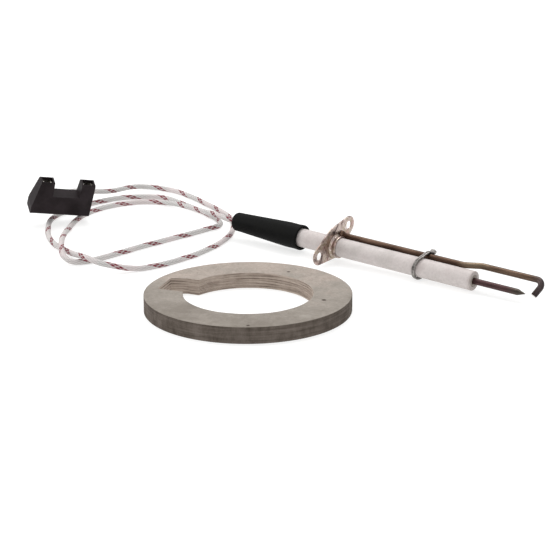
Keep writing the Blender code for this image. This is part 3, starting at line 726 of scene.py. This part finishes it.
def make_ceramic(looks):
    """Plain ceramic tube with a pocket at each end, and the cement in both pockets."""
    front, rear = CERAMIC_FRONT, CERAMIC_REAR
    bore = ROD_R + 0.3 * MM
    mesh = turned("ceramic", eased([
        (front, 2.9 * MM), (front, CERAMIC_R), (rear, CERAMIC_R), (rear, 3.2 * MM),
        (rear + 9 * MM, 3.2 * MM), (rear + 9 * MM, bore), (front - 4 * MM, bore),
        (front - 4 * MM, 2.9 * MM),
    ], 0.45 * MM, 4), 96)
    add_piece("ceramic", mesh, [looks["ceramic"]], "electrode", ["ceramic_insulator"],
              ALONG)
    for name, node, high, low, inner, outer in (
            ("front_cement_fill", "front_cement", front - 0.1 * MM, front - 3.7 * MM, 1.62 * MM,
             2.88 * MM),
            ("rear_cement_fill", "rear_cement", rear + 6.6 * MM, rear + 0.3 * MM, 2.05 * MM,
             3.15 * MM)):
        ring = turned(name, eased([(high, inner), (high, outer), (low, outer), (low, inner)],
                                  0.3 * MM), 48, ripple=0.12 * MM)
        add_piece(name, ring, [looks["cement"]], "electrode", [node], ALONG)


def make_rod_and_pin(looks):
    """The spark rod with its ground point, and the pin on which the boot snaps."""
    rear = CERAMIC_REAR + 8.2 * MM
    cone = TIP_X - 4.6 * MM
    profile = [(TIP_X, 0.0), (TIP_X - 0.1 * MM, 0.16 * MM), (cone + 0.4 * MM, ROD_R - 0.04 * MM),
               (cone, ROD_R)]
    profile += [(cone - step * 3 * MM, ROD_R) for step in range(1, 10)]
    profile += [(rear, ROD_R), (rear, 0.0)]
    add_piece("spark_rod", turned("spark_rod", profile, 48), [looks["spark_rod"]], "electrode",
              ["ignition_rod"], ALONG)
    back, groove, groove_r = -52.2 * MM, -48.2 * MM, 1.6 * MM
    pin = turned("snap_pin", eased([
        (rear - 0.3 * MM, 0.0), (rear - 0.3 * MM, PIN_R), (groove + 1.4 * MM, PIN_R),
        (groove + 1.0 * MM, groove_r), (groove, groove_r), (groove - 0.4 * MM, PIN_R),
        (back + 1 * MM, PIN_R), (back, 1.1 * MM), (back, 0.0),
    ], 0.25 * MM), 48)
    add_piece("snap_pin", pin, [looks["nickel"]], "electrode", ["terminal_pin"],
              ALONG)


def make_flange(looks):
    """Two-lobe plate, the collar rolled out of it, and the ring that holds it from behind."""
    half = HOLE_PITCH / 2
    left = flange_point(-half, HOLE_LINE_OFFSET)
    right = flange_point(half, HOLE_LINE_OFFSET)
    middle = flange_point(0.0, 2.5 * MM)
    outline = belt([(middle, WAIST_R), (right, LOBE_R), (middle, WAIST_R), (left, LOBE_R)], 28)
    earth = earth_offset(EARTH_NEAR)
    full = 2 * math.pi
    holes = [arc(centre, radius, 0, full, 48)[:-1] for centre, radius in (
        ((0.0, 0.0), CERAMIC_R + 0.3 * MM), (left, SCREW_HOLE_R), (right, SCREW_HOLE_R),
        ((earth.y, earth.z), ROD_R + 0.12 * MM))]
    plate = sheet_metal("flange_plate", [outline, *holes], PLATE_T, 0.15 * MM)
    add_piece("flange_plate", plate, [looks["flange"], looks["flange_edge_shaded"]], "electrode",
              ["mounting_flange"], ALONG)
    inner = CERAMIC_R + 0.12 * MM
    neck = turned("collar", eased([
        (3.25 * MM, inner), (3.25 * MM, 5.75 * MM), (2.8 * MM, 5.95 * MM),
        (2.0 * MM, 5.95 * MM), (1.6 * MM, 5.65 * MM), (0.9 * MM, 5.65 * MM),
        (0.1 * MM, 6.5 * MM), (0.02 * MM, 6.5 * MM), (0.02 * MM, inner),
    ], 0.35 * MM, 4), 96, ripple=0.05 * MM)
    collar = add_piece("collar", neck, [looks["flange"]], "electrode", ["flange_collar"],
                       ALONG)
    relief = turned("relief", [(-2 * MM, 0.0), (-2 * MM, ROD_R + 0.1 * MM),
                               (6 * MM, ROD_R + 0.1 * MM), (6 * MM, 0.0)], 48,
                    centre=(earth.y, earth.z))
    cut(collar, relief, ALONG)
    back = turned("spring_ring", eased([
        (-0.9 * MM, inner), (-0.9 * MM, 6.3 * MM), (-2.1 * MM, 6.3 * MM), (-2.3 * MM, 6.0 * MM),
        (-2.3 * MM, inner),
    ], 0.25 * MM), 96)
    add_piece("spring_ring", back, [looks["wire"]], "electrode", ["retaining_ring"],
              ALONG)


def make_earth_rod(looks):
    """Straight rod with a crank outward near its front and a hook across the spark tip."""
    corners = [
        earth_offset(EARTH_NEAR, -PLATE_T), earth_offset(EARTH_NEAR, 75.7 * MM),
        earth_offset(EARTH_FAR, 85.4 * MM), earth_offset(EARTH_FAR, 121.0 * MM),
        earth_offset(0.0, 118.3 * MM),
    ]
    crank = rounded_path(corners[:4], 14 * MM)
    path = crank[:-1] + rounded_path([crank[-2], corners[3], corners[4]], 3.4 * MM, 16)[1:]
    path = spaced(path, 0.6 * MM)
    radii = np.full(len(path), ROD_R)
    radii[-1] -= 0.18 * MM
    radii[-2] -= 0.04 * MM
    mesh = swept("ground_rod", path, radii[:, None], 40, cap_look=1)
    add_piece("ground_rod", mesh, [looks["earth_rod"], looks["cut_face_glint"]], "electrode",
              ["earth_rod"], ALONG)
    root = earth_offset(EARTH_NEAR)
    bead = turned("weld_bead", eased([
        (0.02 * MM, ROD_R), (0.02 * MM, 2.75 * MM), (0.7 * MM, 2.5 * MM), (1.7 * MM, 1.8 * MM),
        (1.8 * MM, ROD_R),
    ], 0.3 * MM, 4), 64, centre=(root.y, root.z), ripple=0.25 * MM)
    add_piece("weld_bead", bead, [looks["earth_rod"]], "electrode", ["earth_rod_weld"],
              ALONG)


def make_clamp(looks):
    """Two turns of wire side by side round the ceramic and the earth rod."""
    reach = 0.15 * MM + CLAMP_WIRE_R
    rod = earth_offset(EARTH_NEAR)
    outline = belt([((0.0, 0.0), CERAMIC_R + reach + 0.1 * MM), ((rod.y, rod.z), ROD_R + reach)],
                   40)
    lean = Matrix.Rotation(CLAMP_LEAN, 3,
                           Vector((0.0, math.cos(EARTH_ROLL), -math.sin(EARTH_ROLL))))
    coil = bmesh.new()
    turn_r = 0.53 * MM
    for side in (-0.5 * MM, 0.5 * MM):
        ring = [lean @ Vector((side, y, z)) + Vector((CLAMP_X, 0.0, 0.0)) for y, z in outline]
        loop = spaced(ring + ring[:1], 0.35 * MM)[:-1]
        mesh = swept("turn", loop, np.full((len(loop), 1), turn_r), 20, closed=True)
        coil.from_mesh(mesh)
        bpy.data.meshes.remove(mesh)
    add_piece("clamp_loop", finish_mesh("clamp_loop", coil, 50.0), [looks["wire"]], "electrode",
              ["clamp_wire"], ALONG)
    make_twist(looks)


def make_twist(looks):
    """The wire's two ends, wound round each other in a short knob."""
    rear, front, strand, wind = 54.1 * MM, 57.8 * MM, 0.75 * MM, 0.68 * MM
    turns, steps = 1.6, 40
    middle = earth_offset(10.0 * MM)
    knob = bmesh.new()
    for side in (0.0, math.pi):
        path = []
        for step in range(steps + 1):
            t = step / steps
            angle = side + t * turns * 2 * math.pi
            reach = wind * (1.0 - 0.5 * abs(2 * t - 1) ** 4)
            path.append((rear + strand + (front - rear - 2 * strand) * t,
                         middle.y + math.cos(angle) * reach, middle.z + math.sin(angle) * reach))
        radii = np.full((steps + 1, 1), strand)
        radii[0] = radii[-1] = 0.35 * MM
        mesh = swept("strand", np.array(path), radii, 20)
        knob.from_mesh(mesh)
        bpy.data.meshes.remove(mesh)
    add_piece("clamp_knob", finish_mesh("clamp_knob", knob, 50.0), [looks["knob"]], "electrode",
              ["clamp_twist"], ALONG)


# --- Boot and lead ------------------------------------------------------------------------------
def make_boot(looks):
    """Rubber boot: a lip at its mouth, a long taper, and bores for the ceramic and the lead."""
    mouth, rear = BOOT_MOUTH, BOOT_REAR
    mouth_r, neck_r = BOOT_MOUTH_R, BOOT_NECK_R
    taper_end, taper_start = rear + BOOT_TAPER[0], rear + BOOT_TAPER[1]
    body_r = mouth_r - 0.05 * MM
    seat = CERAMIC_REAR - 1 * MM
    profile = [
        (mouth, CERAMIC_R + 0.8 * MM), (mouth, mouth_r - 0.25 * MM), (mouth - 0.5 * MM, mouth_r),
        (mouth - 1.6 * MM, mouth_r), (mouth - 4 * MM, mouth_r - 0.15 * MM), (taper_start, body_r),
    ]
    steps = 10
    for step in range(1, steps):
        t = step / steps
        profile.append((taper_start + (taper_end - taper_start) * t,
                        body_r + (neck_r - body_r) * t))
    profile += [
        (taper_end, neck_r), (rear + 1.4 * MM, neck_r - 0.1 * MM),
        (rear + 0.4 * MM, neck_r - 0.65 * MM), (rear + 0.05 * MM, neck_r - 1.55 * MM),
        (rear + 0.05 * MM, LEAD_R + 0.05 * MM),
        (rear + 6 * MM, LEAD_R + 0.05 * MM), (rear + 7.5 * MM, 3.4 * MM), (seat, 3.4 * MM),
        (seat, CERAMIC_R + 0.1 * MM), (mouth - 2 * MM, CERAMIC_R + 0.1 * MM),
    ]
    mesh = turned("boot", eased(profile, 0.9 * MM, 5), 96)
    add_piece("boot", mesh, [looks["rubber"]], "lead_assembly", ["rubber_boot"],
              ALONG)


def lead_path():
    """The lead's centre line, evenly spaced and never lower than the lead can lie."""
    route = [Vector(point) * MM for point in LEAD_ROUTE_MM]
    curve = smooth_curve(route, 24)
    for point in curve:
        point.z = max(point.z, LEAD_R + 0.03 * MM)
    return spaced(curve, LEAD_STEP)


def make_lead(looks):
    """Swept tube with the weave of the braid raised on it, and the braid's own coordinates."""
    path = lead_path()
    count = 24
    along = np.arange(len(path)) * LEAD_STEP
    angles = np.arange(count) * 2 * math.pi / count
    turn = BRAID_YARNS * angles[None, :] / (2 * math.pi)
    climb = (BRAID_YARNS / BRAID_PITCH) * along[:, None]
    right = np.cos(2 * math.pi * (turn - climb))
    left = np.cos(2 * math.pi * (turn + climb))
    weave = np.sin(2 * math.pi * turn) * np.sin(2 * math.pi * climb)
    radii = LEAD_R - 0.05 * MM + 0.03 * MM * (weave - 0.5 * (right + 1) * (left + 1) * 0.5)
    mesh = swept("braided_lead", path, radii, count)
    for name, values in (("braid_along", np.repeat(along, count)),
                         ("braid_cos", np.tile(np.cos(angles), len(path))),
                         ("braid_sin", np.tile(np.sin(angles), len(path)))):
        mesh.attributes.new(name, "FLOAT", "POINT").data.foreach_set(
            "value", values.astype(np.float32))
    lead = add_piece("braided_lead", mesh, [looks["braid"]], "lead_assembly", ["ignition_lead"])


# --- Gasket -------------------------------------------------------------------------------------
def gasket_reach(angle):
    """Distance from the gasket's centre to its inner edge, in a direction."""
    way = Vector((math.cos(angle), math.sin(angle)))
    reach = GASKET_HOLE_R
    for start, end in zip(NOTCH_CORNERS_MM, NOTCH_CORNERS_MM[1:]):
        start, run = Vector(start) * MM, (Vector(end) - Vector(start)) * MM
        across = way.x * run.y - way.y * run.x
        share = (way.y * start.x - way.x * start.y) / across if across else -1.0
        if 0.0 <= share <= 1.0:
            reach = max(reach, way.dot(start + run * share))
    return reach


def gasket_angles():
    """Directions in which the gasket is cut through, closer together along its notch."""
    angles = set(np.linspace(0, 2 * math.pi, 360, endpoint=False).tolist())
    angles |= set(np.linspace(math.radians(168), math.radians(222), 420).tolist())
    angles |= {math.atan2(y, x) % (2 * math.pi) for x, y in NOTCH_CORNERS_MM}
    return sorted(angles)


def gasket_layers(layers=6):
    """Heights up the wall with their inset: each layer swells, and a groove parts it from the next."""
    heights = []
    for layer in range(layers):
        low, high = GASKET_T * layer / layers, GASKET_T * (layer + 1) / layers
        heights += [(low + 0.1 * MM, 0.0), ((low + high) / 2, -0.12 * MM), (high - 0.1 * MM, 0.0)]
        if layer < layers - 1:
            heights.append((high, 0.2 * MM))
    return heights


def gasket_section(angle, heights, rings):
    """Outline of a cut: inward over the top, down the hole's wall, outward below, up outside."""
    inner = gasket_reach(angle)
    way = Vector((math.cos(angle), math.sin(angle), 0.0))
    row = []
    for step in range(rings + 1):
        row.append(way * (GASKET_R - 0.15 * MM + (inner + 0.3 * MM - GASKET_R) * step / rings)
                   + Vector((0, 0, GASKET_T)))
    for height, inset in reversed(heights):
        wave = noise.noise(Vector((way.x * 9, way.y * 9, height * 1400))) * 0.14 * MM
        row.append(way * (inner + inset * 0.6 + wave + 0.12 * MM) + Vector((0, 0, height)))
    for step in range(rings + 1):
        row.append(way * (inner + 0.15 * MM + (GASKET_R - inner - 0.3 * MM) * step / rings))
    for height, inset in heights:
        wave = noise.noise(Vector((way.x * 22, way.y * 22, height * 900))) * 0.06 * MM
        row.append(way * (GASKET_R - inset * 0.08 + min(wave, 0.0)) + Vector((0, 0, height)))
    return row


def make_gasket(looks):
    """Ring built from closed cuts, with a material each for the faces, hole and outer wall."""
    heights = gasket_layers()
    rings = 14
    bm = bmesh.new()
    rows = [[bm.verts.new(point) for point in gasket_section(angle, heights, rings)]
            for angle in gasket_angles()]
    wall = len(heights)
    for here, there in zip(rows, rows[1:] + rows[:1]):
        count = len(here)
        for step in range(count):
            after = (step + 1) % count
            face = bm.faces.new((here[step], here[after], there[after], there[step]))
            if rings <= step <= rings + wall:
                face.material_index = 1
            elif step >= 2 * rings + 1 + wall:
                face.material_index = 2
    for vert in bm.verts:
        if vert.co.z > GASKET_T - 0.01 * MM:
            vert.co.z += (noise.noise(vert.co * 190) - 0.6) * 0.06 * MM
    mesh = finish_mesh("gasket", bm, 50.0)
    add_piece("gasket", mesh, [looks["gasket_face"], looks["gasket_inner_lit"], looks["gasket_outer_shaded"]],
              "gasket", ["gasket_ring"], Matrix.Translation(GASKET_AT))


# --- Carried-over CAD nodes ---------------------------------------------------------------------
def dress_cad_nodes(looks):
    finishes = {
        "spring_contact": "brass", "crimp_barrel": "brass", "left_receptacle": "nickel",
        "right_receptacle": "nickel", "contact_bridge": "brass", "connector_crimp": "brass",
        "lead_end_in_boot": "lead_end", "lead_end_in_connector": "lead_end",
        "lead_grommet": "rubber", "connector_housing": "plastic", "connector_cover": "plastic",
    }
    for node, finish in finishes.items():
        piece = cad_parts[node]
        piece.data.materials.clear()
        piece.data.materials.append(looks[finish])


def make_looks():
    return {
        "ceramic": ceramic_look(),
        "cement": cement_look(),
        "spark_rod": rod_look("spark_rod_tint", (104 * MM, 110 * MM), ((50, 36, 37), (92, 70, 70)),
                              ((62, 57, 52), (112, 104, 96))),
        "earth_rod": rod_look("earth_rod_tint", (72 * MM, 79 * MM), ((58, 43, 35), (112, 90, 76)),
                              ((98, 84, 68), (154, 137, 118)), fade=(84 * MM, 93 * MM),
                              scorch=(112 * MM, 119.5 * MM)),
        "cut_face_glint": cut_face_look(),
        "flange": flange_look(),
        # The plate's rim is darker than its faces: oxidised sheared edge, with painted shade along the
        # edge.
        "flange_edge_shaded": steel_look("flange_edge_shaded", (40, 33, 33), (92, 80, 76), 0.5),
        "knob": steel_look("clamp_knob", (104, 100, 98), (176, 172, 168), 0.36),
        "wire": steel_look("clamp_wire", (70, 65, 63), (168, 164, 160), 0.32),
        "nickel": steel_look("nickel_plate", (150, 146, 140), (205, 200, 192), 0.3),
        "brass": steel_look("contact_brass", (168, 142, 92), (214, 190, 132), 0.32),
        "rubber": rubber_look(),
        "plastic": plastic_look(),
        "braid": braid_look(),
        "lead_end": steel_look("lead_end", (170, 168, 166), (208, 206, 204), 0.7),
        "gasket_face": gasket_face_look(),
        # Both walls are one cut sheet: the outer wall's colours are darkened as painted shade, the
        # inner wall's lightened as painted light.
        "gasket_inner_lit": gasket_wall_look("gasket_inner_edge", (132, 118, 108), (182, 168, 156),
                                         (58, 46, 40), 1.35 * MM, 1.0, 0.25),
        "gasket_outer_shaded": gasket_wall_look("gasket_outer_edge", (72, 64, 57), (108, 99, 92),
                                         (62, 54, 48), 2.6 * MM, 0.45, 0.55),
    }


make_camera()
looks = make_looks()
make_lead(looks)
make_studio()
make_floor()
make_ceramic(looks)
make_rod_and_pin(looks)
make_flange(looks)
make_earth_rod(looks)
make_clamp(looks)
make_boot(looks)
make_gasket(looks)
dress_cad_nodes(looks)
